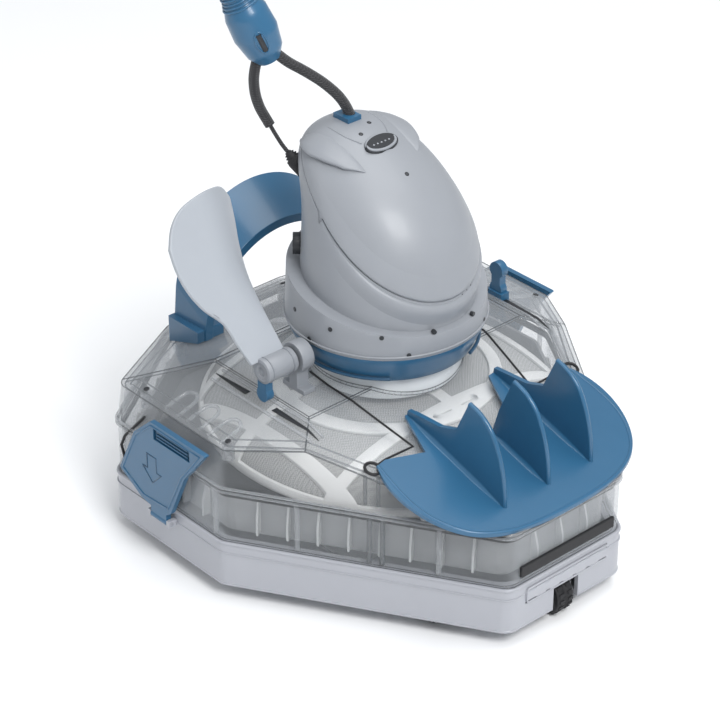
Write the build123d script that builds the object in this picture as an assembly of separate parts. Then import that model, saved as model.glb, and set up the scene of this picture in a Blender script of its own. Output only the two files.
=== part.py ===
"""Cordless jet-driven pool cleaner, in millimetres.

+X is the driving direction, towards the finned guide; +Y is left; +Z is up.
The origin is on the pool floor, midway between the two bumpers.
"""
from build123d import *
import math
import os

# ---- driving dimensions ----
EAST_X, WEST_X = 215.0, -215.0         # bumper faces
EAST_HALF, WEST_HALF = 64.0, 66.0      # half-widths of the two ends
SHOULDER_X, FLANK_X = 11.0, -128.0     # corners at the ends of each straight side
SIDE_Y = 190.0                         # half-width at the straight sides
CORNER_R = 15.0                        # plan radius of the eight corners
SKIRT_LOW, SKIRT_TOP = 14.0, 56.0      # opaque lower tray
SEAM_Z = 105.0                         # where the cover meets the lower body
ROOF_TOP = 158.0                       # flat crown of the cover
WALL = 2.8                             # clear plastic
DRAFT = 8.0                            # lean of the cover's walls, degrees
EAST_EAVE, WEST_EAVE, SIDE_EAVE = 106.0, 110.0, 139.0
EAST_SLOPE, WEST_SLOPE, SIDE_SLOPE = 0.30, 0.36, 0.29

NECK_R = 64.0                          # neck collar that carries the turret
TURRET_LOW, TURRET_SEAM = 169.0, 194.0 # blue ring, and the shell above it
TURRET_R = 83.0
RING_LOW_R = 72.0
VISOR_RISE = 0.71                      # slope of the visor's seam
VISOR_AT_AXIS = 291.4                  # seam height on the turret's axis
SHELL = 3.0
HEAD_SECTIONS = (                      # height, centre x, half-length, half-width
    (196.0, 0.0, 74.0, 72.0),
    (236.0, 3.5, 74.0, 70.5),
    (265.0, 1.5, 70.5, 69.0),
    (302.0, -11.5, 61.5, 61.0),
    (329.0, -32.0, 48.0, 48.5),
    (343.0, -41.0, 30.0, 33.0),
    (349.0, -44.0, 10.0, 12.0),
)

TUBE_Z, TUBE_R = 188.0, 10.5           # paddle's pivot tube, along Y
TUBE_OUT, TUBE_IN = -133.0, -103.0
PADDLE_LEAN = 32.0                     # rest lean towards -X, degrees
BLADE_T = 4.0

WHEEL_R, WHEEL_W = 17.5, 18.0
AXLE_R, AXLE_GAP = 3.0, 0.05
BUMPER_HALF, BUMPER_LOW, BUMPER_HIGH = 46.0, 36.0, 51.0
BUMPER_DEEP, WHEEL_NOTCH = 12.0, 14.0
WHEELS = {                             # name: x, y
    "front_wheel": (197.5, 0.0),
    "rear_wheel": (-197.5, 0.0),
    "front_right_wheel": (142.0, -78.0),
    "front_left_wheel": (142.0, 78.0),
    "rear_right_wheel": (-120.0, -140.0),
    "rear_left_wheel": (-120.0, 140.0),
}

LATCH_Y, LATCH_T = 190.8, 4.8          # inner face and thickness of a latch
LATCH_PIVOT = (193.2, 46.0)            # y and z of its pivot
LATCH_PIN_R = 1.5
LATCH_STEM = (-70.0, -50.0)            # x of the ends of its pivot barrel
LATCH_OUTLINE = ((-110, 72), (-88, 117), (-66, 137), (4, 137), (-24, 102), (-44, 58), (-50, 54),
                 (-50, 46), (-70, 46), (-70, 54), (-82, 56))

INLET_X = (-30.0, 70.0)
INLET_Y = (46.0, 96.0)
PLATE_Z = 60.0                         # filter tray's plate
FLAP_T = 2.0
DOME = (165.0, 150.0, 50.0)            # half-axes of the filter dome
DOME_Z = 96.0
DOME_HOLE_R = 44.0
RIB_XS, RIB_YS = (-110.0, -20.0, 78.0), (-124.0, 0.0, 124.0)
RIB_HALF, RIB_HOOP_R = 5.5, 91.0

GUIDE_T, GUIDE_LIFT = 3.0, 1.2
FIN_T, FIN_YS = 4.0, (-48.0, 0.0, 48.0)

ROPE_R, CORD_R = 4.3, 1.7
SLEEVE_ROUTE = ((-46, 2, 352), (-48, -2, 364), (-57, -13, 379), (-68, -26, 391), (-78, -38, 400),
                (-83, -45, 409))
TAIL_ROUTE = ((-88, -55, 410), (-91, -59, 394), (-91, -59, 376), (-89, -56, 362), (-86, -52, 352),
              (-83, -50, 346))
THREAD_ROUTE = ((-83, -50, 346), (-79, -46, 335), (-74, -42, 325), (-67, -38, 317))
FLOAT_AXIS = ((-84, -48, 402), (-113, -80, 497))


def body_section(inset, z):
    """The octagonal plan, moved inwards by inset, at height z."""
    half = [(EAST_X, -EAST_HALF), (EAST_X, EAST_HALF), (SHOULDER_X, SIDE_Y), (FLANK_X, SIDE_Y),
            (WEST_X, WEST_HALF), (WEST_X, -WEST_HALF), (FLANK_X, -SIDE_Y), (SHOULDER_X, -SIDE_Y)]
    plan = offset(Polygon(*half, align=None), amount=-inset, kind=Kind.INTERSECTION)
    return Pos(0, 0, z) * fillet(plan.vertices(), radius=CORNER_R)


def body_wall(inset, low, high, wall):
    """A vertical wall that follows the plan."""
    outer = extrude(body_section(inset, low), amount=high - low)
    return outer - extrude(body_section(inset + wall, low), amount=high - low)


def box(low, high):
    """A box between two corners."""
    size = [b - a for a, b in zip(low, high)]
    return Pos(*low) * Box(*size, align=(Align.MIN, Align.MIN, Align.MIN))


def rod(start, end, radius):
    """A round bar from start to end."""
    axis = Vector(*end) - Vector(*start)
    return Plane(origin=start, z_dir=axis) * Cylinder(
        radius, axis.length, align=(Align.CENTER, Align.CENTER, Align.MIN))


def prism_y(points, y, thick):
    """An outline in X and Z, extruded along +Y from y."""
    face = make_face(Polyline(*[(x, y, z) for x, z in points], close=True))
    return extrude(face, amount=thick, dir=(0, 1, 0))


def mirrored(shape):
    """The same shape on the other side of the XZ plane."""
    return mirror(shape, about=Plane.XZ)


# ---- lower body ----
def base_tray():
    """Opaque skirt with a floor, inlet windows, axle bosses and latch lugs."""
    floor = extrude(body_section(2, SKIRT_LOW), amount=4)
    tray = floor + body_wall(2, SKIRT_LOW, SKIRT_TOP, 4) + body_wall(2, SKIRT_TOP - 4, SKIRT_TOP, 10)
    for side in (-1, 1):
        low_y, high_y = sorted((side * INLET_Y[0], side * INLET_Y[1]))
        tray -= box((INLET_X[0], low_y, SKIRT_LOW - 1), (INLET_X[1], high_y, SKIRT_LOW + 5))
        for x in (LATCH_STEM[0] - 4.0, LATCH_STEM[1] + 0.4):
            lug = box((x, SIDE_Y - 3, LATCH_PIVOT[1] - 3), (x + 3.6, LATCH_PIVOT[0] + 3, LATCH_PIVOT[1] + 3))
            lug -= rod((x - 1, LATCH_PIVOT[0], LATCH_PIVOT[1]), (x + 5, LATCH_PIVOT[0], LATCH_PIVOT[1]),
                       LATCH_PIN_R)
            tray += lug if side > 0 else mirrored(lug)
    for x, y in WHEELS.values():
        clear = WHEEL_R + 3
        half = WHEEL_W / 2
        tray -= box((x - clear, y - half - 2, SKIRT_LOW - 1), (x + clear, y + half + 2, SKIRT_LOW + 5))
        for low_y in (y - half - 6, y + half + 2):
            tray += box((x - 7, low_y, WHEEL_R - 7), (x + 7, low_y + 4, WHEEL_R + 7))
        tray -= rod((x, y - half - 7, WHEEL_R), (x, y + half + 7, WHEEL_R), AXLE_R)
    for low_x, high_x in ((EAST_X - BUMPER_DEEP, EAST_X + 1), (WEST_X - 1, WEST_X + BUMPER_DEEP)):
        tray -= box((low_x, -BUMPER_HALF, BUMPER_LOW), (high_x, BUMPER_HALF, BUMPER_HIGH))
        tray -= box((low_x - 4, -WHEEL_NOTCH, SKIRT_LOW - 1), (high_x + 4, WHEEL_NOTCH, BUMPER_LOW))
    return tray


def bumper(end_x, inward):
    """Grey bumper block let into one end of the tray."""
    low_x, high_x = sorted((end_x, end_x + inward * BUMPER_DEEP))
    block = box((low_x, -BUMPER_HALF, BUMPER_LOW), (high_x, BUMPER_HALF, BUMPER_HIGH))
    outer = [e for e in block.edges().filter_by(Axis.Y) if abs(e.center().X - end_x) < 0.1]
    return chamfer(outer, length=4)


def end_seal(end_x, inward):
    """Black seal strip in the slot above a bumper."""
    low_x, high_x = sorted((end_x + inward * 1.2, end_x + inward * 3.9))
    return box((low_x, -52, 64), (high_x, 52, 74))


def lower_body():
    """Clear wall between the tray and the cover, with a slot for each end seal."""
    wall = body_wall(4, SKIRT_TOP, SEAM_Z, WALL)
    return wall


def gasket():
    """Rubber bead inside the seam."""
    return body_wall(4 + WALL, SEAM_Z - 8, SEAM_Z - 2, 2)


def filter_tray():
    """Plate and rim under the dome, with a port above each inlet window."""
    tray = extrude(body_section(16, PLATE_Z), amount=3) + body_wall(16, PLATE_Z, DOME_Z, 2.5)
    for side in (-1, 1):
        low_y, high_y = sorted((side * INLET_Y[0], side * INLET_Y[1]))
        tray -= box((INLET_X[0], low_y, PLATE_Z - 1), (INLET_X[1], high_y, PLATE_Z + 4))
        for x in (INLET_X[0] - 8, INLET_X[1] + 4.4):
            lug = box((x, INLET_Y[0] - 9, PLATE_Z + 3), (x + 3.6, INLET_Y[0] - 1, PLATE_Z + 10))
            lug -= rod((x - 1, INLET_Y[0] - 5, PLATE_Z + 6.5), (x + 5, INLET_Y[0] - 5, PLATE_Z + 6.5), 1.5)
            tray += lug if side > 0 else mirrored(lug)
    return tray


def inlet_flap():
    """Flap that lies over the left port and keeps debris in."""
    low = PLATE_Z + 3.4
    flap = box((INLET_X[0] - 3, INLET_Y[0] - 5, low), (INLET_X[1] + 3, INLET_Y[1] + 4, low + FLAP_T))
    flap += rod((INLET_X[0] - 3.5, INLET_Y[0] - 5, PLATE_Z + 6.5),
                (INLET_X[1] + 3.5, INLET_Y[0] - 5, PLATE_Z + 6.5), 3.0)
    return flap - rod((INLET_X[0] - 9, INLET_Y[0] - 5, PLATE_Z + 6.5),
                      (INLET_X[1] + 9, INLET_Y[0] - 5, PLATE_Z + 6.5), 1.5 + AXLE_GAP)


def flap_pin():
    """Steel pin of the left inlet flap."""
    return rod((INLET_X[0] - 8, INLET_Y[0] - 5, PLATE_Z + 6.5),
               (INLET_X[1] + 8, INLET_Y[0] - 5, PLATE_Z + 6.5), 1.5)


def dome_solid(shrink):
    """Upper half of the filter dome, made smaller all round by shrink."""
    a, b, c = (v - shrink for v in DOME)
    ball = scale(Sphere(1.0), by=(a, b, c))
    upper = ball & box((-a - 1, -b - 1, 0), (a + 1, b + 1, c + 1))
    return Pos(0, 0, DOME_Z) * upper - rod((0, 0, DOME_Z - 1), (0, 0, DOME_Z + c + 2), DOME_HOLE_R)


def filter_frame():
    """Ribbed white frame of the dome."""
    skin = dome_solid(0) - dome_solid(3.0)
    slabs = box((-170, -155, DOME_Z), (170, 155, DOME_Z + 7))
    slabs += rod((0, 0, DOME_Z), (0, 0, DOME_Z + 60), DOME_HOLE_R + 9)
    for y in RIB_YS:
        slabs += box((-170, y - RIB_HALF, DOME_Z), (170, y + RIB_HALF, DOME_Z + 60))
    for x in RIB_XS:
        slabs += box((x - RIB_HALF, -155, DOME_Z), (x + RIB_HALF, 155, DOME_Z + 60))
    hoop = rod((0, 0, DOME_Z), (0, 0, DOME_Z + 60), RIB_HOOP_R + RIB_HALF)
    slabs += hoop - rod((0, 0, DOME_Z - 1), (0, 0, DOME_Z + 61), RIB_HOOP_R - RIB_HALF)
    return skin & slabs


def filter_mesh():
    """Fine screen that lines the frame."""
    return dome_solid(3.2) - dome_solid(4.4)


def wheel(x, y):
    """One wheel on its own axle line."""
    half = WHEEL_W / 2
    tyre = rod((x, y - half, WHEEL_R), (x, y + half, WHEEL_R), WHEEL_R)
    tyre = chamfer(tyre.edges().filter_by(GeomType.CIRCLE), length=2)
    return tyre - rod((x, y - half - 1, WHEEL_R), (x, y + half + 1, WHEEL_R), AXLE_R + AXLE_GAP)


def axles():
    """All six wheel axles."""
    reach = WHEEL_W / 2 + 6
    return Compound([rod((x, y - reach, WHEEL_R), (x, y + reach, WHEEL_R), AXLE_R).solid()
                     for x, y in WHEELS.values()])


def latch():
    """Left latch: a shaped panel with a pivot barrel and a finger recess."""
    panel = prism_y(LATCH_OUTLINE, LATCH_Y, LATCH_T)
    panel = fillet(panel.edges().filter_by(Axis.Y), radius=1.0)
    panel += rod((LATCH_STEM[0], *LATCH_PIVOT), (LATCH_STEM[1], *LATCH_PIVOT), 3.4)
    panel -= box((-62, LATCH_Y + LATCH_T - 2.6, 122), (-16, LATCH_Y + LATCH_T + 1, 133))
    return panel - rod((-80, *LATCH_PIVOT), (-40, *LATCH_PIVOT), LATCH_PIN_R + AXLE_GAP)


def latch_pins():
    """Pivot pins of both latches."""
    pin = rod((LATCH_STEM[0] - 4, *LATCH_PIVOT), (LATCH_STEM[1] + 4, *LATCH_PIVOT), LATCH_PIN_R)
    return Compound([pin.solid(), mirrored(pin).solid()])


# ---- cover ----
def cover_block(inset):
    """Solid hip-roofed block; the clear cover lies between two of these."""
    block = extrude(body_section(4 + inset, SEAM_Z), amount=60, taper=DRAFT)
    drop = inset
    wide, tall = 400.0, 200.0

    def roof(x, z, slope, turn):
        """Everything above one roof plane, through height z at distance x along turn."""
        keep_out = Pos(0, 0, tall / 2) * Box(2 * wide, 2 * wide, tall)
        lean = math.degrees(math.atan(slope))
        return Rot(0, 0, turn) * Pos(x, 0, z - drop * math.sqrt(1 + slope * slope)) * Rot(0, lean, 0) * keep_out

    block -= roof(EAST_X - 3, EAST_EAVE, EAST_SLOPE, 0)
    block -= roof(-WEST_X - 3, WEST_EAVE, WEST_SLOPE, 180)
    block -= roof(SIDE_Y - 7, SIDE_EAVE, SIDE_SLOPE, 90)
    block -= roof(SIDE_Y - 7, SIDE_EAVE, SIDE_SLOPE, -90)
    return block - box((-wide, -wide, ROOF_TOP - drop), (wide, wide, ROOF_TOP + tall))


def cover_shell():
    """Clear cover with a round hole for the neck."""
    inner = cover_block(WALL) + extrude(body_section(4 + WALL, SEAM_Z - 1), amount=1.0)
    shell = cover_block(0) - inner
    return shell - rod((0, 0, SEAM_Z), (0, 0, ROOF_TOP + 5), NECK_R)


def neck_collar():
    """White collar in the cover's hole; its bore holds the swivel bearing."""
    collar = rod((0, 0, 147), (0, 0, 168), NECK_R) - rod((0, 0, 146), (0, 0, 169), NECK_R - 6)
    return collar


def swivel_bearing():
    """Plain bearing ring between the collar and the turret's hub."""
    return rod((0, 0, 152), (0, 0, 166), NECK_R - 6) - rod((0, 0, 151), (0, 0, 167), 52.06)


def guide_half_outline():
    """Plan of the finned guide's right half."""
    return ((132, 0), (120, -24), (80, -40), (79, -52), (116, -64), (106, -98), (108, -108))


def front_guide():
    """Scooped plate with three shark-fin vanes."""
    inner = [(x, y) for x, y in guide_half_outline()]
    left = [(x, -y) for x, y in reversed(inner)]
    rim = Spline((108, -108), (163, -111), (197, -88), (212, -48), (215, 0), (212, 48), (197, 88),
                 (163, 111), (108, 108))
    edge = Polyline(*(left[:-1] + inner))
    plan = make_face(rim + edge)
    blank = Pos(0, 0, 90) * extrude(plan, amount=90)
    lean = math.degrees(math.atan(EAST_SLOPE))
    slab = Pos(EAST_X - 3, 0, EAST_EAVE + GUIDE_LIFT) * Rot(0, lean, 0) * Pos(0, 0, GUIDE_T / 2) * Box(
        500, 500, GUIDE_T)
    guide = blank & slab
    roof = EAST_EAVE + GUIDE_LIFT + 0.4
    base = [(x, roof + EAST_SLOPE * (EAST_X - 3 - x)) for x in (189.0, 79.0)]
    for y in FIN_YS:
        if y == 0.0:
            foot = [(126.0, roof + EAST_SLOPE * (EAST_X - 3 - 126.0)), (134.0, 160.0)]
        else:
            foot = [base[1], (80.0, 154.5), (117.0, 157.0), (135.0, 163.0)]
        curve = Spline((148, y, 192), (166, y, 184), (178, y, 168), (187, y, 140), (base[0][0], y, base[0][1]))
        start = [(148.0, 192.0)] + list(reversed(foot))
        sides = Polyline(*[(x, y, z) for x, z in start + [base[0]]])
        fin = extrude(make_face(curve + sides), amount=FIN_T / 2, dir=(0, 1, 0), both=True)
        guide += fin
    return guide


def carry_handle():
    """Arched blue band across the rear of the cover."""
    x = -168.0
    legs = [(-92, 110), (-86, 178)]
    arch = make_face(
        Line((x, legs[0][0], legs[0][1]), (x, legs[1][0], legs[1][1]))
        + ThreePointArc((x, -86, 178), (x, 0, 250), (x, 86, 178))
        + Line((x, 86, 178), (x, 92, 110)) + Line((x, 92, 110), (x, -92, 110)))
    inner = make_face(
        Line((x, -84, 110), (x, -78, 176)) + ThreePointArc((x, -78, 176), (x, 0, 242), (x, 78, 176))
        + Line((x, 78, 176), (x, 84, 110)) + Line((x, 84, 110), (x, -84, 110)))
    band = extrude(arch - inner, amount=46, dir=(40, 0, -24))
    for side in (-1, 1):
        band += box((-170, side * 80 - 14, 100), (-130, side * 80 + 14, 150))
    return band - cover_block(0) - box((-300, -150, 0), (0, 150, SEAM_Z + 18))


def pivot_bracket(y, reach, bore_r):
    """Bracket on the cover that holds the tube's line at y."""
    foot = box((-13, y - reach, ROOF_TOP), (13, y + reach, ROOF_TOP + 4))
    web = box((-5, y - reach, ROOF_TOP + 3), (5, y + reach, TUBE_Z))
    eye = rod((0, y - reach, TUBE_Z), (0, y + reach, TUBE_Z), 13)
    bracket = foot + web + eye
    return bracket - rod((0, y - reach - 1, TUBE_Z), (0, y + reach + 1, TUBE_Z), bore_r)


def left_lever():
    """Blue lever on the left side, standing in its own groove."""
    arm = rod((0, 126, TUBE_Z - 6), (0, 133, TUBE_Z - 6), 7.5)
    arm += box((-5, 126, 160), (5, 133, TUBE_Z - 4))
    arm += rod((0, 126, 164), (0, 133, 164), 7.0)
    foot = box((-9, 124.3, 146), (9, 133.7, 162)) - cover_block(0)
    return arm + foot


def groove_rails():
    """Raised lips of the two fore-and-aft grooves on the cover."""
    rails = []
    for side in (-1, 1):
        for offset_y in (-7.0, 5.0):
            y = side * 129.0 + offset_y
            bar = box((-62, y, 120), (62, y + 2, 170)) - cover_block(0)
            lift = Pos(0, 0, 2.0) * cover_block(0)
            rails += list((bar & lift).solids())
    return Compound(rails)


# ---- paddle ----
def paddle_blade():
    """Broad blade, leaning back, with a curled inner edge."""
    outline = Spline((-140, 8), (-150, 46), (-163, 62), (-172, 90), (-172, 118), (-150, 141), (-128, 147),
                     (-100, 147), (-92, 134), (-98, 104), (-106, 70), (-108, 40), (-106, 8))
    face = make_face(outline + Line((-106, 8), (-140, 8)))
    blade = extrude(face, amount=BLADE_T / 2, both=True)
    placed = Plane(origin=(0, 0, TUBE_Z), x_dir=(0, 1, 0),
                   z_dir=(math.cos(math.radians(PADDLE_LEAN)), 0, math.sin(math.radians(PADDLE_LEAN)))) * blade
    return placed - rod((0, TUBE_OUT - 20, TUBE_Z), (0, TUBE_IN + 20, TUBE_Z), TUBE_R)


def paddle_tube():
    """Tube that carries the blade and the lever, bored for its shaft."""
    tube = rod((0, TUBE_OUT, TUBE_Z), (0, TUBE_IN, TUBE_Z), TUBE_R)
    return tube - rod((0, TUBE_OUT - 1, TUBE_Z), (0, TUBE_IN + 1, TUBE_Z), 4.0)


def paddle_lever():
    """Blue lever under the tube's outer end."""
    arm = box((-5, TUBE_OUT, 163), (5, TUBE_OUT + 7, TUBE_Z))
    arm += rod((0, TUBE_OUT, 167), (0, TUBE_OUT + 7, 167), 6.5)
    return arm - rod((0, TUBE_OUT - 1, TUBE_Z), (0, TUBE_OUT + 8, TUBE_Z), TUBE_R)


def paddle_shaft():
    """Steel shaft fixed in the tube, running in the collar."""
    return rod((0, TUBE_OUT + 2, TUBE_Z), (0, -89, TUBE_Z), 4.0)


# ---- turret ----
def head_solid(shrink):
    """Outer form of the turret's head, made smaller by shrink."""
    rings = [Pos(cx, 0, z - shrink * (z > 320)) * Ellipse(a - shrink, b - shrink) for z, cx, a, b in HEAD_SECTIONS]
    return loft(rings)


def above_seam(lift):
    """Everything above the visor's seam plane, raised by lift."""
    lean = math.degrees(math.atan(VISOR_RISE))
    return Pos(0, 0, VISOR_AT_AXIS + lift) * Rot(0, lean, 0) * Pos(0, 0, 200) * Box(600, 600, 400)


def head_base():
    """Rear shell with the flared skirt."""
    skirt = Pos(0, 0, TURRET_SEAM + 0.3) * Cone(TURRET_R, 80.5, 60, align=(Align.CENTER, Align.CENTER, Align.MIN))
    top = Pos(0, 0, 229) * Rot(0, math.degrees(math.atan(0.2)), 0) * Pos(0, 0, 100) * Box(300, 300, 200)
    skirt -= top
    shell = skirt - rod((0, 0, TURRET_SEAM), (0, 0, 197), 70) + (head_solid(0) - above_seam(0))
    return shell - head_solid(SHELL)


def head_visor():
    """Front and top shell above the sloping seam."""
    return (head_solid(0) & above_seam(0.8)) - head_solid(SHELL)


def blue_ring():
    """Tapered blue ring under the head."""
    ring = Pos(0, 0, TURRET_LOW) * Cone(RING_LOW_R, TURRET_R, TURRET_SEAM - TURRET_LOW,
                                        align=(Align.CENTER, Align.CENTER, Align.MIN))
    return ring - rod((0, 0, 168), (0, 0, 195), 56)


def turret_hub():
    """Hub that turns in the neck's bearing and forms the water duct."""
    hub = rod((0, 0, 150), (0, 0, TURRET_SEAM), 52.0) + rod((0, 0, 178), (0, 0, TURRET_SEAM), 56.0)
    return hub - rod((0, 0, 149), (0, 0, 195), 47)


def head_slice(low, high):
    """A plate across the inside of the head."""
    return head_solid(SHELL) & box((-100, -100, low), (100, 100, high))


def motor_bracket():
    """Plate that carries the pump motor, open around it for water."""
    plate = head_slice(206, 211) - rod((0, 0, 200), (0, 0, 215), 3.5)
    for turn in range(4):
        plate -= Rot(0, 0, 90 * turn) * box((28, -14, 200), (52, 14, 215))
    return plate


def pump_motor():
    """Sealed motor."""
    return rod((0, 0, 211), (0, 0, 262), 25) - rod((0, 0, 210), (0, 0, 226), AXLE_R + AXLE_GAP)


def impeller():
    """Hub with five pitched blades."""
    wheel_solid = rod((0, 0, 176), (0, 0, 190), 13)
    for turn in range(5):
        blade = Rot(0, 0, 72 * turn) * Pos(26, 0, 183) * Rot(35, 0, 0) * Box(34, 2.4, 16)
        wheel_solid += blade
    return wheel_solid - rod((0, 0, 170), (0, 0, 195), AXLE_R)


def impeller_shaft():
    """Motor shaft."""
    return rod((0, 0, 172), (0, 0, 225), AXLE_R)


def battery_pack():
    """Sealed battery."""
    return box((-38, -32, 266), (22, 32, 300))


def control_board():
    """Control board above the battery."""
    return box((-40, -26, 303), (14, 26, 306))


def on_left_rear(z, depth, radius, length):
    """A round bar that enters the head from its left rear, at height z."""
    out = Vector(-0.669, -0.743, 0)
    start = Vector(-2, 0, z) + out * depth
    end = start + out * length
    return rod(tuple(start), tuple(end), radius)


def rope_clip():
    """Blue clip on the crown with a slot for the rope."""
    clip = box((-56, -7, 343), (-38, 7, 353)) - rod((-46, 2, 340), (-46, 2, 360), ROPE_R)
    return clip - head_solid(0)


def badge():
    """Plain oval plate on the crown."""
    plate = Pos(-8, 0, 339) * Rot(0, 38, 0) * extrude(Ellipse(8, 16), amount=4, both=True)
    return plate - head_solid(0)


def skirt_screws():
    """Screw heads round the skirt and at its lower edge."""
    screws = []
    for z, radius, angles in ((215.0, 82.3, range(-165, 180, 30)), (198.5, 83.0, range(-150, 180, 60))):
        for angle in angles:
            out = Vector(math.cos(math.radians(angle)), math.sin(math.radians(angle)), 0)
            foot = out * (radius - 2.5) + Vector(0, 0, z)
            screws.append(rod(tuple(foot), tuple(foot + out * 2.9), 1.9).solid())
    return Compound(screws)


# ---- rope ----
def corner_radii(route):
    """The largest arc at each corner of a route: 0.45 of the shorter run over tan(turn / 2)."""
    points = [Vector(*p) for p in route]
    radii = []
    for a, b, c in zip(points, points[1:], points[2:]):
        turn = math.radians((b - a).get_angle(c - b))
        radii.append(0.45 * min((b - a).length, (c - b).length) / math.tan(turn / 2))
    return radii


def cord_tube(name, route, radius):
    """A tube of straight runs and tangent arcs."""
    radii = corner_radii(route)
    print(name, "radii", [round(r, 1) for r in radii])
    path = FilletPolyline(*route, radius=radii)
    section = Plane(origin=route[0], z_dir=Vector(*route[1]) - Vector(*route[0])) * Circle(radius)
    tube = sweep(section, path=path)
    print(name, "length", round(path.length, 1), "volume ratio",
          round(tube.volume / (math.pi * radius ** 2 * path.length), 4))
    return tube


def rope_float():
    """Ribbed float with a hanging eye at the top, round the rope's loop."""
    start, end = (Vector(*p) for p in FLOAT_AXIS)
    length = (end - start).length
    along = Plane(origin=tuple(start), z_dir=end - start, x_dir=(0.743, -0.669, 0))
    profile = [(0, 0), (9, 0), (15, 9), (18.5, 26), (17.5, 44), (12.5, 58), (12.5, 68), (15, 78),
               (13, length), (0, length)]
    curve = Polyline(*[(r, 0, z) for r, z in profile], close=True)
    body = revolve(make_face(curve), axis=Axis.Z)
    eye = Pos(0, 0, length - 14) * Rot(0, 90, 0) * Cylinder(7.0, 60)
    placed = along * (body - eye)
    for route in (SLEEVE_ROUTE, TAIL_ROUTE):
        tip = Vector(*(route[-1] if route is SLEEVE_ROUTE else route[0]))
        inward = (end - start).normalized()
        placed -= rod(tuple(tip - inward * 26), tuple(tip), ROPE_R)
    return placed


def grommet():
    """Rubber grommet where the thin cord enters the head."""
    end = Vector(*THREAD_ROUTE[-1])
    out = (Vector(*THREAD_ROUTE[-2]) - end).normalized()
    plug = rod(tuple(end - out * 14), tuple(end), 7.0)
    return plug - head_solid(0)


def save(name, shape):
    """Write one node."""
    shape.label = name
    export_step(shape, os.path.join("parts", name + ".step"))


def main():
    """Build every node and write it."""
    os.makedirs("parts", exist_ok=True)
    nodes = {
        "base_tray": base_tray(), "front_bumper": bumper(EAST_X, -1), "rear_bumper": bumper(WEST_X, 1),
        "front_seal": end_seal(EAST_X, -1), "rear_seal": end_seal(WEST_X, 1),
        "lower_body": lower_body(), "cover_gasket": gasket(), "filter_tray": filter_tray(),
        "left_inlet_flap": inlet_flap(), "right_inlet_flap": mirrored(inlet_flap()),
        "flap_pins": Compound([flap_pin().solid(), mirrored(flap_pin()).solid()]),
        "filter_frame": filter_frame(), "filter_mesh": filter_mesh(), "wheel_axles": axles(),
        "left_latch": latch(), "right_latch": mirrored(latch()), "latch_pins": latch_pins(),
        "cover_shell": cover_shell(), "neck_collar": neck_collar(), "swivel_bearing": swivel_bearing(),
        "front_guide": front_guide(), "carry_handle": carry_handle(),
        "tube_collar": pivot_bracket(-94.5, 6.0, 4.0 + AXLE_GAP), "left_lever": left_lever(),
        "groove_rails": groove_rails(),
        "paddle_blade": paddle_blade(), "paddle_tube": paddle_tube(), "paddle_lever": paddle_lever(),
        "paddle_shaft": paddle_shaft(),
        "head_base": head_base(), "head_visor": head_visor(), "blue_ring": blue_ring(),
        "turret_hub": turret_hub(), "motor_bracket": motor_bracket(), "pump_motor": pump_motor(),
        "impeller": impeller(), "impeller_shaft": impeller_shaft(), "battery_pack": battery_pack(),
        "control_board": control_board(), "rope_clip": rope_clip(), "badge": badge(),
        "skirt_screws": skirt_screws(), "cord_grommet": grommet(), "rope_float": rope_float(),
        "rope_sleeve": cord_tube("rope_sleeve", SLEEVE_ROUTE, ROPE_R),
        "rope_tail": cord_tube("rope_tail", TAIL_ROUTE, ROPE_R),
        "rope_thread": cord_tube("rope_thread", THREAD_ROUTE, CORD_R),
        "switch_bezel": on_left_rear(254, 66, 9, 8) - on_left_rear(254, 60, 6, 20) - head_solid(0),
        "power_switch": on_left_rear(254, 60, 5.7, 13.5),
    }
    nodes["head_base"] -= on_left_rear(254, 55, 6, 30)
    for name, (x, y) in WHEELS.items():
        nodes[name] = wheel(x, y)
    for name, shape in nodes.items():
        save(name, shape)


main()
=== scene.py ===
"""Looks of the cordless jet-driven pool cleaner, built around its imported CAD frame."""
import bpy
import bmesh
import math
from mathutils import Matrix, Vector
from mathutils.bvhtree import BVHTree


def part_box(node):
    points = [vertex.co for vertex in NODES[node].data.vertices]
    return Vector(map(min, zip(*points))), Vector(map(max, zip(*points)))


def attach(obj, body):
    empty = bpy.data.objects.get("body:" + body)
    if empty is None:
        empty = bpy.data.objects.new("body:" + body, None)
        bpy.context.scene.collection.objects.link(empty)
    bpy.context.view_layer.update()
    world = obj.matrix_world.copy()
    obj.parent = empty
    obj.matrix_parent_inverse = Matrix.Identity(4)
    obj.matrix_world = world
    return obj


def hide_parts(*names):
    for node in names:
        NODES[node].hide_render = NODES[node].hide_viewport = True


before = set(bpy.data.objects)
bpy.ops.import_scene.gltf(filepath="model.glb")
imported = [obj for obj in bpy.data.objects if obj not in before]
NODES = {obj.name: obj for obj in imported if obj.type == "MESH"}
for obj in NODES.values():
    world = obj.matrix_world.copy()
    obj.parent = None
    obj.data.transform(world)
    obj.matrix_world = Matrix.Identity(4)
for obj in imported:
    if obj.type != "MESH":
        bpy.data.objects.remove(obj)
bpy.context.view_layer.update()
MM = 0.001
HALF_LENGTH = 215.0                       # to the face of a bumper, millimetres
WALL = 2.8                                # clear plastic, millimetres
SIDES = (("right", -1), ("left", 1))      # each side and its sign of y
MIRRORED = (("right", 1), ("left", -1))   # the same, for points that are listed on the right side

# ---- camera ----
TARGET = Vector((0.0, 0.0, 0.194))       # middle of the turret's seam
AZIMUTH, ELEVATION = math.radians(48.0), math.radians(31.3)
DISTANCE, FOCAL = 2.075, 127.25          # metres, millimetres on a 36 mm sensor
TARGET_OFFSET = (0.0213, 0.0364)         # how far right of and above the axis the target lies


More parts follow.
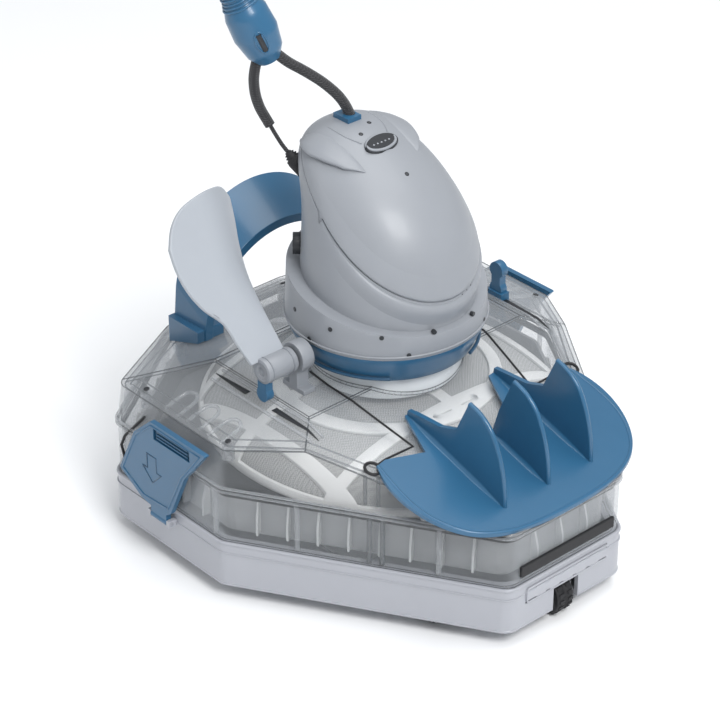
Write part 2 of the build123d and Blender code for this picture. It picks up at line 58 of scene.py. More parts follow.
def make_camera():
    """The camera at the photograph's viewing angle."""
    right = Vector((math.cos(AZIMUTH), math.sin(AZIMUTH), 0))
    back = Vector((math.sin(AZIMUTH) * math.cos(ELEVATION), -math.cos(AZIMUTH) * math.cos(ELEVATION),
                   math.sin(ELEVATION)))
    up = back.cross(right)
    data = bpy.data.cameras.new("camera")
    data.lens = FOCAL
    data.sensor_width = 36.0
    data.sensor_fit = "HORIZONTAL"
    data.clip_end = 50
    camera = bpy.data.objects.new("camera", data)
    camera.location = TARGET - right * TARGET_OFFSET[0] - up * TARGET_OFFSET[1] + back * DISTANCE
    camera.rotation_euler = Matrix((right, up, back)).transposed().to_euler()
    bpy.context.scene.collection.objects.link(camera)
    bpy.context.scene.camera = camera


# ---- materials ----
def new_material(name):
    """A node material and its principled shader."""
    material = bpy.data.materials.new(name)
    material.use_nodes = True
    return material, material.node_tree, material.node_tree.nodes["Principled BSDF"]


def link_bump(tree, shader, height, strength, distance):
    """Drives the shader's normal from a height."""
    bump = tree.nodes.new("ShaderNodeBump")
    bump.inputs["Strength"].default_value = strength
    bump.inputs["Distance"].default_value = distance
    tree.links.new(height, bump.inputs["Height"])
    tree.links.new(bump.outputs["Normal"], shader.inputs["Normal"])


def noise(tree, scale, detail=4.0, roughness=0.6):
    """Noise in object coordinates."""
    coordinates = tree.nodes.new("ShaderNodeTexCoord")
    texture = tree.nodes.new("ShaderNodeTexNoise")
    texture.inputs["Scale"].default_value = scale
    texture.inputs["Detail"].default_value = detail
    texture.inputs["Roughness"].default_value = roughness
    tree.links.new(coordinates.outputs["Object"], texture.inputs["Vector"])
    return texture.outputs["Fac"]


def ramp(tree, factor, low, high, low_at=0.3, high_at=0.7):
    """Blends two colours along a factor."""
    node = tree.nodes.new("ShaderNodeValToRGB")
    node.color_ramp.elements[0].position = low_at
    node.color_ramp.elements[0].color = (*low, 1)
    node.color_ramp.elements[1].position = high_at
    node.color_ramp.elements[1].color = (*high, 1)
    tree.links.new(factor, node.inputs["Fac"])
    return node.outputs["Color"]


def moulded(name, colour, roughness, grain=900.0, grain_strength=0.12, coat=0.0, variation=0.04):
    """Moulded plastic: faint colour variation, fine grain, and uneven gloss."""
    material, tree, shader = new_material(name)
    low = tuple(c * (1 - variation) for c in colour)
    high = tuple(min(1, c * (1 + variation)) for c in colour)
    broad = noise(tree, 14.0, 5.0)
    tree.links.new(ramp(tree, broad, low, high), shader.inputs["Base Color"])
    gloss = tree.nodes.new("ShaderNodeMapRange")
    gloss.inputs["To Min"].default_value = roughness - 0.05
    gloss.inputs["To Max"].default_value = roughness + 0.06
    tree.links.new(noise(tree, 60.0, 6.0), gloss.inputs["Value"])
    tree.links.new(gloss.outputs["Result"], shader.inputs["Roughness"])
    shader.inputs["Coat Weight"].default_value = coat
    shader.inputs["Coat Roughness"].default_value = 0.12
    link_bump(tree, shader, noise(tree, grain, 2.0), grain_strength, 0.0002)
    return material


def clear_plastic(name, colour, face_alpha, edge_alpha, roughness=0.05):
    """Clear moulded plastic: nearly invisible face on, milky and glossy at a glance."""
    material, tree, shader = new_material(name)
    shader.inputs["Base Color"].default_value = (*colour, 1)
    shader.inputs["Specular IOR Level"].default_value = 0.75
    shader.inputs["Coat Weight"].default_value = 0.4
    shader.inputs["Coat Roughness"].default_value = 0.03
    facing = tree.nodes.new("ShaderNodeLayerWeight")
    facing.inputs["Blend"].default_value = 0.35
    alpha = tree.nodes.new("ShaderNodeMapRange")
    alpha.inputs["To Min"].default_value = face_alpha
    alpha.inputs["To Max"].default_value = edge_alpha
    tree.links.new(facing.outputs["Facing"], alpha.inputs["Value"])
    tree.links.new(alpha.outputs["Result"], shader.inputs["Alpha"])
    gloss = tree.nodes.new("ShaderNodeMapRange")
    gloss.inputs["To Min"].default_value = roughness - 0.02
    gloss.inputs["To Max"].default_value = roughness + 0.05
    tree.links.new(noise(tree, 30.0), gloss.inputs["Value"])
    tree.links.new(gloss.outputs["Result"], shader.inputs["Roughness"])
    link_bump(tree, shader, noise(tree, 22.0, 2.0), 0.15, 0.002)
    return material


def braided(name):
    """Black braided sleeve: crossed fine waves."""
    material, tree, shader = new_material(name)
    coordinates = tree.nodes.new("ShaderNodeTexCoord")
    waves = []
    for turn in (35.0, -35.0):
        mapping = tree.nodes.new("ShaderNodeMapping")
        mapping.inputs["Rotation"].default_value = (math.radians(turn), math.radians(turn), 0)
        wave = tree.nodes.new("ShaderNodeTexWave")
        wave.bands_direction = "Z"
        wave.inputs["Scale"].default_value = 320.0
        tree.links.new(coordinates.outputs["Object"], mapping.inputs["Vector"])
        tree.links.new(mapping.outputs["Vector"], wave.inputs["Vector"])
        waves.append(wave.outputs["Fac"])
    both = tree.nodes.new("ShaderNodeMath")
    both.operation = "MULTIPLY"
    tree.links.new(waves[0], both.inputs[0])
    tree.links.new(waves[1], both.inputs[1])
    tree.links.new(ramp(tree, both.outputs[0], (0.008, 0.008, 0.01), (0.05, 0.05, 0.055)),
                   shader.inputs["Base Color"])
    shader.inputs["Roughness"].default_value = 0.62
    shader.inputs["Sheen Weight"].default_value = 0.25
    link_bump(tree, shader, both.outputs[0], 0.8, 0.0006)
    return material


def screen_mesh(name):
    """Fine filter screen."""
    material, tree, shader = new_material(name)
    coordinates = tree.nodes.new("ShaderNodeTexCoord")
    checks = tree.nodes.new("ShaderNodeTexChecker")
    checks.inputs["Scale"].default_value = 700.0
    tree.links.new(coordinates.outputs["Object"], checks.inputs["Vector"])
    tree.links.new(ramp(tree, checks.outputs["Fac"], (0.30, 0.30, 0.295), (0.43, 0.43, 0.42), 0.0, 1.0),
                   shader.inputs["Base Color"])
    shader.inputs["Roughness"].default_value = 0.5
    link_bump(tree, shader, checks.outputs["Fac"], 0.3, 0.0003)
    return material


def brushed_steel(name):
    """Steel with fine streaks."""
    material, tree, shader = new_material(name)
    shader.inputs["Metallic"].default_value = 1.0
    tree.links.new(ramp(tree, noise(tree, 500.0, 6.0), (0.42, 0.43, 0.45), (0.62, 0.63, 0.66)),
                   shader.inputs["Base Color"])
    shader.inputs["Roughness"].default_value = 0.32
    link_bump(tree, shader, noise(tree, 1500.0), 0.1, 0.0001)
    return material


GREY = moulded("head_grey", (0.27, 0.285, 0.31), 0.42, coat=0.06, variation=0.02)
BODY_GREY = moulded("body_grey", (0.38, 0.39, 0.425), 0.34, coat=0.1, variation=0.02)
GREY_DARK = moulded("tube_grey", (0.22, 0.235, 0.26), 0.4, coat=0.1, variation=0.03)
TRAY_GREY = moulded("tray_grey", (0.24, 0.245, 0.25), 0.4, coat=0.1, variation=0.05)
TRAY_FIN = moulded("tray_fin", (0.50, 0.51, 0.51), 0.4, variation=0.03)
PALE = moulded("paddle_grey", (0.37, 0.395, 0.43), 0.34, coat=0.12, variation=0.02)
WHITE = moulded("inner_white", (0.74, 0.74, 0.73), 0.42, variation=0.02)
CREAM = moulded("tray_cream", (0.47, 0.465, 0.45), 0.45, variation=0.02)
BLUE = moulded("blue_plastic", (0.026, 0.113, 0.218), 0.30, coat=0.2, variation=0.04)
# painted shade: a darker copy of the blue plastic, laid on steps, recesses and raised outlines
BLUE_SHADED = moulded("blue_painted_shade", (0.018, 0.07, 0.135), 0.34, coat=0.12)
DARK = moulded("dark_plastic", (0.02, 0.022, 0.026), 0.45)
RUBBER = moulded("black_rubber", (0.012, 0.012, 0.014), 0.62, grain=500.0, grain_strength=0.3)
CLEAR = clear_plastic("clear_cover", (0.50, 0.53, 0.56), 0.04, 0.62)
# painted shade: a dark copy of the clear plastic, for the darkening that thick clear plastic shows at its edges
CLEAR_SHADE_LINE = clear_plastic("clear_painted_shade", (0.10, 0.11, 0.12), 0.45, 0.9, 0.08)
CLEAR_EDGE = clear_plastic("clear_edge", (0.42, 0.44, 0.46), 0.25, 0.85, 0.08)
MILKY = moulded("neck_white", (0.74, 0.77, 0.79), 0.25, coat=0.3)
ROPE = braided("rope_braid")
SCREEN = screen_mesh("filter_screen")
STEEL = brushed_steel("steel")

NODE_MATERIALS = {
    BODY_GREY: ("base_tray", "front_bumper", "rear_bumper"),
    RUBBER: ("front_seal", "rear_seal", "cover_gasket", "front_wheel", "rear_wheel", "front_left_wheel",
             "front_right_wheel", "rear_left_wheel", "rear_right_wheel", "cord_grommet", "power_switch"),
    CLEAR: ("lower_body", "cover_shell"),
    CLEAR_EDGE: ("groove_rails",),
    CREAM: ("left_inlet_flap", "right_inlet_flap"),
    TRAY_GREY: ("filter_tray",),
    WHITE: ("filter_frame", "turret_hub", "swivel_bearing"),
    MILKY: ("neck_collar",),
    SCREEN: ("filter_mesh",),
    STEEL: ("flap_pins", "wheel_axles", "latch_pins", "paddle_shaft", "impeller_shaft"),
    BLUE: ("left_latch", "right_latch", "front_guide", "left_lever", "paddle_lever", "blue_ring",
           "rope_clip", "rope_float", "carry_handle"),
    GREY: ("head_base", "head_visor", "tube_collar", "paddle_tube"),
    PALE: ("paddle_blade",),
    DARK: ("switch_bezel", "skirt_screws", "motor_bracket", "pump_motor", "impeller", "battery_pack",
           "control_board", "badge"),
    ROPE: ("rope_sleeve", "rope_tail", "rope_thread"),
}
LARGE_FLAT_NODES = ("front_guide", "carry_handle", "left_latch", "right_latch", "base_tray", "cover_shell",
                    "lower_body")


def dress_nodes():
    """Gives every CAD node its material and soft edges."""
    for material, names in NODE_MATERIALS.items():
        for name in names:
            node = NODES[name]
            node.data.materials.clear()
            node.data.materials.append(material)
            weld = node.modifiers.new("weld", "WELD")
            weld.merge_threshold = 0.00002
            bevel = node.modifiers.new("bevel", "BEVEL")
            bevel.width = 0.0006
            bevel.segments = 2
            bevel.limit_method = "ANGLE"
            bevel.angle_limit = math.radians(38)
            if name in LARGE_FLAT_NODES:
                node.modifiers.new("shade", "WEIGHTED_NORMAL").keep_sharp = True


# ---- piece helpers ----
def full_turn(count):
    """Angles evenly spaced around a circle."""
    return [2 * math.pi * k / count for k in range(count)]


def finish_piece(piece, body, slot, material):
    """Material and body of a new piece; the slot is not used."""
    piece.data.materials.append(material)
    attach(piece, body)
    return piece


def mesh_piece(name, points, faces, body, slot, material, flat=False):
    """A mesh piece from points in millimetres."""
    mesh = bpy.data.meshes.new(name)
    mesh.from_pydata([tuple(c * MM for c in p) for p in points], [], faces)
    work = bmesh.new()
    work.from_mesh(mesh)
    bmesh.ops.recalc_face_normals(work, faces=work.faces)
    work.to_mesh(mesh)
    work.free()
    for polygon in mesh.polygons:
        polygon.use_smooth = not flat
    piece = bpy.data.objects.new(name, mesh)
    bpy.context.scene.collection.objects.link(piece)
    return finish_piece(piece, body, slot, material)


def grid_piece(name, surface, rows, columns, body, slot, material, round_rows=False, round_columns=False):
    """A mesh piece over a grid: surface(u, v) gives a point in millimetres."""
    row_span = rows if round_rows else rows - 1
    column_span = columns if round_columns else columns - 1
    points = [surface(i / row_span, j / column_span) for i in range(rows) for j in range(columns)]
    faces = []
    for i in range(row_span):
        for j in range(column_span):
            a, b = i, (i + 1) % rows
            c, d = j, (j + 1) % columns
            faces.append((a * columns + c, a * columns + d, b * columns + d, b * columns + c))
    return mesh_piece(name, points, faces, body, slot, material)


def solidify(piece, thickness, offset=-1.0):
    """Wall thickness in millimetres."""
    modifier = piece.modifiers.new("wall", "SOLIDIFY")
    modifier.thickness = thickness * MM
    modifier.offset = offset
    return piece


def soften(piece, width, segments=3, angle=35):
    """Rounded edges, width in millimetres."""
    modifier = piece.modifiers.new("edges", "BEVEL")
    modifier.width = width * MM
    modifier.segments = segments
    modifier.limit_method = "ANGLE"
    modifier.angle_limit = math.radians(angle)
    return piece


def tube_piece(name, points, radius, body, slot, material, closed=False, smooth=True):
    """A round bead along points in millimetres."""
    curve = bpy.data.curves.new(name, "CURVE")
    curve.dimensions = "3D"
    curve.bevel_depth = radius * MM
    curve.bevel_resolution = 3
    curve.use_fill_caps = True
    spline = curve.splines.new("NURBS" if smooth else "POLY")
    spline.points.add(len(points) - 1)
    for point, place in zip(spline.points, points):
        point.co = (*(c * MM for c in place), 1)
    if smooth:
        spline.order_u = 3
        spline.use_endpoint_u = not closed
    spline.use_cyclic_u = closed
    piece = bpy.data.objects.new(name, curve)
    bpy.context.scene.collection.objects.link(piece)
    return finish_piece(piece, body, slot, material)


def lathe_piece(name, profile, origin, axis, body, slot, material, steps=48):
    """A turned piece: profile of (radius, along) about axis through origin, millimetres."""
    direction = Vector(axis).normalized()
    side = direction.orthogonal().normalized()
    other = direction.cross(side)

    def surface(u, v):
        index = round(u * (len(profile) - 1))
        radius, along = profile[index]
        turn = 2 * math.pi * v
        return Vector(origin) + direction * along + (side * math.cos(turn) + other * math.sin(turn)) * radius

    return grid_piece(name, surface, len(profile), steps, body, slot, material, round_columns=True)


# ---- ropes ----
SLEEVE_ROUTE = ((-46, 2, 352), (-48, -2, 364), (-57, -13, 379), (-68, -26, 391), (-78, -38, 400),
                (-83, -45, 409))
TAIL_ROUTE = ((-88, -55, 410), (-91, -59, 394), (-91, -59, 376), (-89, -56, 362), (-86, -52, 352),
              (-83, -50, 346))
THREAD_ROUTE = ((-83, -50, 346), (-79, -46, 335), (-74, -42, 325), (-67, -38, 317))
FLOAT_AXIS = ((-84, -48, 402), (-113, -80, 497))
CORDS = (                # node, route, diameter and length in metres, far end, CAD nodes that are on it
    ("rope_sleeve", SLEEVE_ROUTE, 0.0086, 0.0845, "fitting", ("rope_float",)),
    ("rope_tail", TAIL_ROUTE, 0.0086, 0.0672, "object", ()),
    ("rope_thread", THREAD_ROUTE, 0.0034, 0.0355, "object", ()),
)


def make_cords():
    """The braided loop and its thin end; each radius is on the points, so that the bounds follow it."""
    for node, route, diameter, length, far_end, fittings in CORDS:
        piece = tube_piece(node + "_braid", route, diameter * 500, "turret", "rope", ROPE)
        piece.data.resolution_u = 24
        piece.data.bevel_resolution = 6
        piece.data.bevel_depth = 1.0
        for point in piece.data.splines[0].points:
            point.radius = diameter / 2
        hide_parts(node)


# ---- surfaces of the CAD nodes, for details that lie on them ----
def tree_of(*names):
    """A search tree over some CAD nodes."""
    vertices, faces = [], []
    for name in names:
        mesh = NODES[name].data
        base = len(vertices)
        vertices += [v.co.copy() for v in mesh.vertices]
        faces += [[base + i for i in p.vertices] for p in mesh.polygons]
    return BVHTree.FromPolygons(vertices, faces)


def on_surface(tree, place, lift=0.0, toward=None):
    """The surface point nearest to place (mm), lifted outward; returns point and normal."""
    found, normal, _, _ = tree.find_nearest(Vector(place) * MM)
    if toward is not None and normal.dot(Vector(toward)) < 0:
        normal = -normal
    return found / MM + normal * lift, normal


def dropped(tree, x, y, lift=0.0):
    """The point of the surface straight below (x, y), lifted upward, in mm."""
    found, normal, _, _ = tree.ray_cast(Vector((x, y, 400)) * MM, Vector((0, 0, -1)))
    return found / MM + normal * lift


def smooth_step(t):
    """Eased 0 to 1."""
    t = min(1.0, max(0.0, t))
    return t * t * (3 - 2 * t)


def lerp_path(points, t):
    """The point at share t of a polyline, by length."""
    places = [Vector(p) for p in points]
    lengths = [(b - a).length for a, b in zip(places, places[1:])]
    left = t * sum(lengths)
    for a, b, length in zip(places, places[1:], lengths):
        if left <= length:
            return a.lerp(b, left / length)
        left -= length
    return places[-1]


# ---- turret ----
VISOR_AT_AXIS, VISOR_RISE = 291.4, 0.71  # the seam's height at the axis, and its drop for each mm of x
HEAD_SCREWS = ((22.1, 0.9, 325.1), (-30, 8, 348), (-22, -8, 346), (77, 20, 231))
SKIRT_R, SKIRT_BEAD_Z = 83.2, 197.0
RING_R, RING_STEP_Z = 76.4, 173.4


def visor_edge(tree, turn, shift):
    """The head's outer surface at an angle, a given height above the visor's seam.

    The seam slopes along x, so each ray from outside corrects the height for the next one. The rays meet at
    the head's middle, which leans back with height.
    """
    x, z = 0.0, VISOR_AT_AXIS + shift
    out = Vector((math.cos(turn), math.sin(turn), 0))
    point, normal = None, out
    for _ in range(16):
        middle = max(-44.0, 1.0 - 0.0062 * max(0.0, z - 268) ** 1.6)
        start = Vector((middle, 0, z)) + out * 140
        found, facing, _, _ = tree.ray_cast(start * MM, -out)
        if found is None:
            z -= 1.5
            continue
        point = found / MM
        normal = facing if facing.dot(out) > 0.35 else out
        x = 0.4 * x + 0.6 * point.x
        z = VISOR_AT_AXIS + shift - VISOR_RISE * x
    return point, normal


def head_band(name, tree, rows, reach, ease, step=3):
    """A raised band that runs beside the visor's seam; rows are (height above it, lift)."""
    turns = [math.radians(a) for a in range(-reach, reach + 1, step)]

    def band(u, v):
        turn = turns[round(u * (len(turns) - 1))]
        shift, lift = rows[round(v * (len(rows) - 1))]
        fade = smooth_step((math.radians(reach) - abs(turn)) / ease)
        point, normal = visor_edge(tree, turn, shift)
        return point + normal * (lift * fade if lift > 0 else lift)

    return grid_piece(name, band, len(turns), len(rows), "turret", "light_grey_plastic", GREY)


def make_head():
    """Raised visor edge, chin ridge, brows, badge and screws of the thruster head."""
    head = tree_of("head_visor", "head_base")
    head_band("visor_lip", head, ((1.7, -0.6), (1.6, 0.9), (2.0, 1.5), (3.0, 1.7), (5.0, 1.6), (9.0, 1.1),
                                  (15.0, 0.5), (24.0, -0.3)), 116, 0.7)
    head_band("chin_ridge", head, ((-1.6, -0.4), (-2.4, 1.0), (-4.0, 2.2), (-6.5, 2.6), (-10.0, 2.3),
                                   (-15.0, 1.1), (-22.0, -0.4)), 96, 1.0)

    inner = ((-62, -30.0, 338), (-51, -28.5, 344), (-36, -27.5, 345.5), (-21, -27.0, 342), (-6, -26.5, 336),
             (5, -27.0, 330.5))
    outer = ((-63, -34, 334), (-52, -41, 334), (-39, -44.5, 333.5), (-22, -43.0, 333), (-7, -38.0, 331),
             (6, -27.8, 329.8))
    rows = ((0.0, -0.4), (0.12, 0.9), (0.4, 2.2), (0.75, 4.2), (0.95, 5.0), (1.03, 4.6), (1.06, 3.2),
            (1.04, 1.0), (1.03, -0.6))
    for side, sign in MIRRORED:
        def brow(u, v, sign=sign):
            across, lift = rows[round(v * (len(rows) - 1))]
            swell = math.sin(math.pi * min(1.0, 0.06 + 0.94 * u)) ** 0.6
            place = lerp_path(inner, u).lerp(lerp_path(outer, u), across)
            place.y *= sign
            spot, normal = on_surface(head, place)
            return spot + normal * (lift * swell if lift > 0 else lift)

        grid_piece(side + "_brow", brow, 28, len(rows), "turret", "light_grey_plastic", GREY)

    plateau = ((-62, -17, 343), (-50, -20, 347), (-36, -21, 347), (-22, -19, 345.5), (-14, -14, 343.5))
    for side, sign in MIRRORED:
        path = [tuple(on_surface(head, (x, y * sign, z), 0.15)[0]) for x, y, z in plateau]
        tube_piece(side + "_crown_edge", path, 0.9, "turret", "light_grey_plastic", GREY)

    centre, normal = on_surface(head, (-8, 0, 341))
    side = Vector((0, 1, 0))
    down = side.cross(normal).normalized()
    oval = [tuple(centre + side * 14.5 * math.cos(a) + down * 7.2 * math.sin(a) + normal * 1.0)
            for a in full_turn(28)]
    tube_piece("badge_ring", oval, 1.2, "turret", "light_grey_plastic", GREY, closed=True)
    for k, along in enumerate((-8.0, -4.0, 0.0, 4.0, 8.0)):
        spot = centre + side * along + normal * 1.1
        lathe_piece("badge_dot_%d" % k, [(0.01, 0.8), (1.3, 0.6), (1.7, -0.4)], tuple(spot), tuple(normal),
                    "turret", "light_grey_plastic", GREY, 14)

    for k, place in enumerate(HEAD_SCREWS):
        spot, normal = on_surface(head, place)
        lathe_piece("head_screw_%d" % k, [(0.01, -0.2), (0.6, 0.25), (1.5, 0.35), (1.9, 0.15), (2.0, -0.6)],
                    tuple(spot), tuple(normal), "turret", "dark_plastic", DARK, 16)
    for i in range(4):
        for j in range(5):
            spot, normal = on_surface(head, (75.6 - i * 1.6, 11.0 + i * 6.2, 243.5 - j * 2.6 - i * 1.5))
            lathe_piece("speaker_dot_%d%d" % (i, j), [(0.01, 0.12), (0.7, 0.1), (0.8, -0.4)], tuple(spot),
                        tuple(normal), "turret", "dark_plastic", DARK, 8)

    boot_end = Vector(THREAD_ROUTE[-1])
    boot_out = (Vector(THREAD_ROUTE[-2]) - boot_end).normalized()
    profile = [(0.01, 9.0), (2.6, 9.0), (3.0, 7.6), (4.6, 7.0), (3.6, 5.6), (5.6, 4.8), (4.6, 3.4), (6.6, 2.4),
               (6.9, -3.0)]
    lathe_piece("boot_ribs", profile, tuple(boot_end), tuple(boot_out), "turret", "black_rubber", RUBBER, 32)

    path = [(SKIRT_R * math.cos(a), SKIRT_R * math.sin(a), SKIRT_BEAD_Z) for a in full_turn(72)]
    tube_piece("skirt_bead", path, 0.9, "turret", "light_grey_plastic", GREY, closed=True)
    # painted shade: three beads in the darker blue where the blue ring steps, for the shade along each step
    for k in range(3):
        start = math.radians(-100 + 120 * k)
        turns = [start + math.radians(degrees) for degrees in range(0, 62, 3)]
        path = [(RING_R * math.cos(turn), RING_R * math.sin(turn), RING_STEP_Z) for turn in turns]
        tube_piece("ring_step_%d" % k, path, 1.5, "turret", "blue_plastic", BLUE_SHADED)


# ---- paddle ----
PIVOT_Z = 188.0                          # axis of the paddle's tube
TUBE_RING_R = 10.6
BLADE_LEAN = math.radians(32.0)          # back from upright
BLADE_ROOT = 8.0                         # where the blade starts, above the pivot


def make_paddle():
    """The curled paddle blade, of one thickness throughout."""
    left = ((8, -140), (26, -145), (46, -150), (62, -162), (80, -170), (98, -173), (118, -172))
    right = ((8, -106), (40, -108), (70, -106), (98, -100), (118, -95), (134, -92))
    crest = ((0.0, 116), (0.12, 131), (0.28, 141), (0.5, 146.5), (0.75, 148.5), (0.92, 146), (1.0, 137))

    def curve(table, t):
        """Catmull-Rom through the table."""
        t = min(table[-1][0], max(table[0][0], t))
        k = max(i for i, (key, _) in enumerate(table[:-1]) if key <= t)
        (t0, a), (t1, b) = table[k], table[k + 1]
        before = table[k - 1] if k else (2 * t0 - t1, 2 * a - b)
        after = table[k + 2] if k + 2 < len(table) else (2 * t1 - t0, 2 * b - a)
        slope_a = (b - before[1]) / (t1 - before[0]) * (t1 - t0)
        slope_b = (after[1] - a) / (after[0] - t0) * (t1 - t0)
        f = (t - t0) / (t1 - t0)
        return (a * (2 * f ** 3 - 3 * f ** 2 + 1) + slope_a * (f ** 3 - 2 * f ** 2 + f)
                + b * (3 * f ** 2 - 2 * f ** 3) + slope_b * (f ** 3 - f ** 2))

    along = Vector((-math.sin(BLADE_LEAN), 0, math.cos(BLADE_LEAN)))
    normal = Vector((math.cos(BLADE_LEAN), 0, math.sin(BLADE_LEAN)))
    root = Vector((0, 0, PIVOT_Z))

    def blade(u, v):
        s = BLADE_ROOT + (curve(crest, v) - BLADE_ROOT) * u
        low, high = curve(left, s), curve(right, s)
        y = low + (high - low) * v
        grow = smooth_step(u * 1.3)
        curl = 17.0 * grow * max(0.0, v - 0.52) ** 2 / 0.48 ** 2
        cup = -3.0 * grow * math.sin(math.pi * v)
        return root + along * s + Vector((0, y, 0)) + normal * (cup - curl)

    piece = grid_piece("paddle_skin", blade, 44, 36, "paddle", "pale_grey_plastic", PALE)
    solidify(piece, 3.4, 0.0)
    soften(piece, 1.2, angle=50)
    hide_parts("paddle_blade")
    lathe_piece("tube_end_cup", [(0.01, -1.2), (5.6, -1.2), (6.2, 0.4), (8.2, 0.7), (9.8, 0.2), (10.3, -0.8)],
                (0, -133.0, PIVOT_Z), (0, -1, 0), "paddle", "light_grey_plastic", GREY_DARK, 40)
    for k, y in enumerate((-128.5, -107.5)):
        path = [(TUBE_RING_R * math.cos(a), y, PIVOT_Z + TUBE_RING_R * math.sin(a)) for a in full_turn(40)]
        tube_piece("tube_ring_%d" % k, path, 0.55, "paddle", "light_grey_plastic", GREY_DARK, closed=True)


# ---- float ----
FLOAT_FACING = Vector((0.6350, -0.5718, 0.5195))  # the way that the slot and the window look
GRIP_FROM, GRIP_STEP = 52, 3.1                    # the ribs of the grip, along the float


def make_float():
    """Blue float with a ribbed grip, a slot and a window; the slot and the window are filled with painted shade.
    """
    start, end = Vector(FLOAT_AXIS[0]), Vector(FLOAT_AXIS[1])
    axis = (end - start).normalized()
    tree = tree_of("rope_float")
    side = axis.cross(FLOAT_FACING).normalized()
    other = axis.cross(side)
    for k in range(9):
        centre = start + axis * (GRIP_FROM + GRIP_STEP * k)
        path = []
        for a in full_turn(40):
            out = side * math.cos(a) + other * math.sin(a)
            path.append(tuple(on_surface(tree, centre + out * 14, 0.2)[0]))
        tube_piece("grip_rib_%d" % k, path, 1.05, "turret", "blue_plastic", BLUE, closed=True)
    facing = (FLOAT_FACING - axis * FLOAT_FACING.dot(axis)).normalized()
    # painted shade: the slot and the window are dark tubes sunk into the float, for the shade inside the openings
    for name, low, high, wide in (("float_slot", 15, 29, 2.4), ("float_window", 83, 89, 1.8)):
        spine = [tuple(on_surface(tree, start + axis * (low + (high - low) * k / 4) + facing * 12, -0.9)[0])
                 for k in range(5)]
        tube_piece(name, spine, wide, "turret", "dark_plastic", DARK)
        loop = []
        for a in full_turn(24):
            place = start + axis * ((low + high) / 2 + (high - low + 4) / 2 * math.sin(a))
            place += side * (wide + 0.8) * math.cos(a) + facing * 12
            loop.append(tuple(on_surface(tree, place)[0]))
        tube_piece(name + "_edge", loop, 0.8, "turret", "blue_plastic", BLUE, closed=True)


# ---- clear cover and body ----
def make_cover_details():
    """Black seams, screw bosses, edge strips and moulded ribs of the clear cover."""
    cover = tree_of("cover_shell")

    def over(points, lift):
        return [tuple(dropped(cover, x, y, lift)) for x, y in points]

    def dense(points, step=6.0):
        out = []
        for a, b in zip(points, points[1:]):
            count = max(1, int(math.dist(a, b) / step))
            out += [(a[0] + (b[0] - a[0]) * k / count, a[1] + (b[1] - a[1]) * k / count) for k in range(count)]
        return out + [points[-1]]

    for side, sign in SIDES:
        seam = ((-11, 73), (14, 76), (36, 77), (71, 71.5), (103.5, 66), (103, 81), (102.7, 95), (104, 104))
        path = over(dense([(x, y * sign) for x, y in seam]), 0.7)
        tube_piece(side + "_seam", path, 0.9, "cover", "black_rubber", RUBBER, smooth=False)
        ring = [(105 + 6.0 * math.cos(a), sign * (110.5 + 6.0 * math.sin(a)))
                for a in full_turn(24)]
        tube_piece(side + "_seam_ring", over(ring, 0.9), 1.3, "cover", "black_rubber", RUBBER, closed=True)
        for k, (x, y) in enumerate(((-163.7, 86), (-100, 172), (4, 172), (150, 95), (196, 40), (-190, 50))):
            place = dropped(cover, x, sign * y)
            _, normal = on_surface(cover, tuple(place), 0, (0, 0, 1))
            lathe_piece("%s_cover_screw_%d" % (side, k),
                        [(0.01, 0.3), (0.9, 0.5), (2.0, 0.6), (2.5, 0.2), (2.6, -0.4)], tuple(place),
                        tuple(normal), "cover", "dark_plastic", DARK, 16)
            lathe_piece("%s_cover_boss_%d" % (side, k), [(5.2, -3.0), (5.2, -16.0), (3.6, -17.0), (3.6, -3.2)],
                        tuple(place), (0, 0, 1), "cover", "clear_plastic", CLEAR_EDGE, 24)
        for k in range(3):
            x0 = -72 + 27 * k
            loop = [(x0, 176), (x0, 160), (x0 + 1.5, 153), (x0 + 8, 150), (x0 + 14.5, 153), (x0 + 16, 160),
                    (x0 + 16, 176)]
            path = over(dense([(x, y * sign) for x, y in loop], 4.0), -3.4)
            tube_piece("%s_u_rib_%d" % (side, k), path, 1.5, "cover", "clear_plastic", CLEAR_EDGE)
        # painted shade: each slot is a dark sheet on the cover, standing for the shade in a leaf-shaped groove
        for k, (x0, x1) in enumerate(((-24, -64), (9, 62))):
            y = 128.0 * sign
            spine = [dropped(cover, x0 + (x1 - x0) * t / 8, y, 0.5) for t in range(9)]
            wide = [2.6 * (1 - t / 8) ** 0.7 + 0.1 for t in range(9)]
            points = [tuple(p + Vector((0, w * turn, 0.0))) for p, w in zip(spine, wide) for turn in (-1, 1)]
            faces = [(2 * t, 2 * t + 1, 2 * t + 3, 2 * t + 2) for t in range(8)]
            slot = mesh_piece("%s_slot_%d" % (side, k), points, faces, "cover", "dark_plastic", DARK)
            solidify(slot, 0.8, 0.0)
    # painted shade: the inner edge strips are in the dark copy of the clear plastic, drawn as dark lines parallel
    # to the outline
    for name, inset, radius in (("edge_strip", 16.0, 0.9), ("edge_strip_in", 24.0, 0.7)):
        ring = [(p.x, p.y) for p in plan_points(inset)]
        path = over(dense(ring + [ring[0]], 8.0)[:-1], -WALL - 0.6)
        tube_piece(name, path, radius, "cover", "clear_plastic", CLEAR_SHADE_LINE, closed=True, smooth=False)


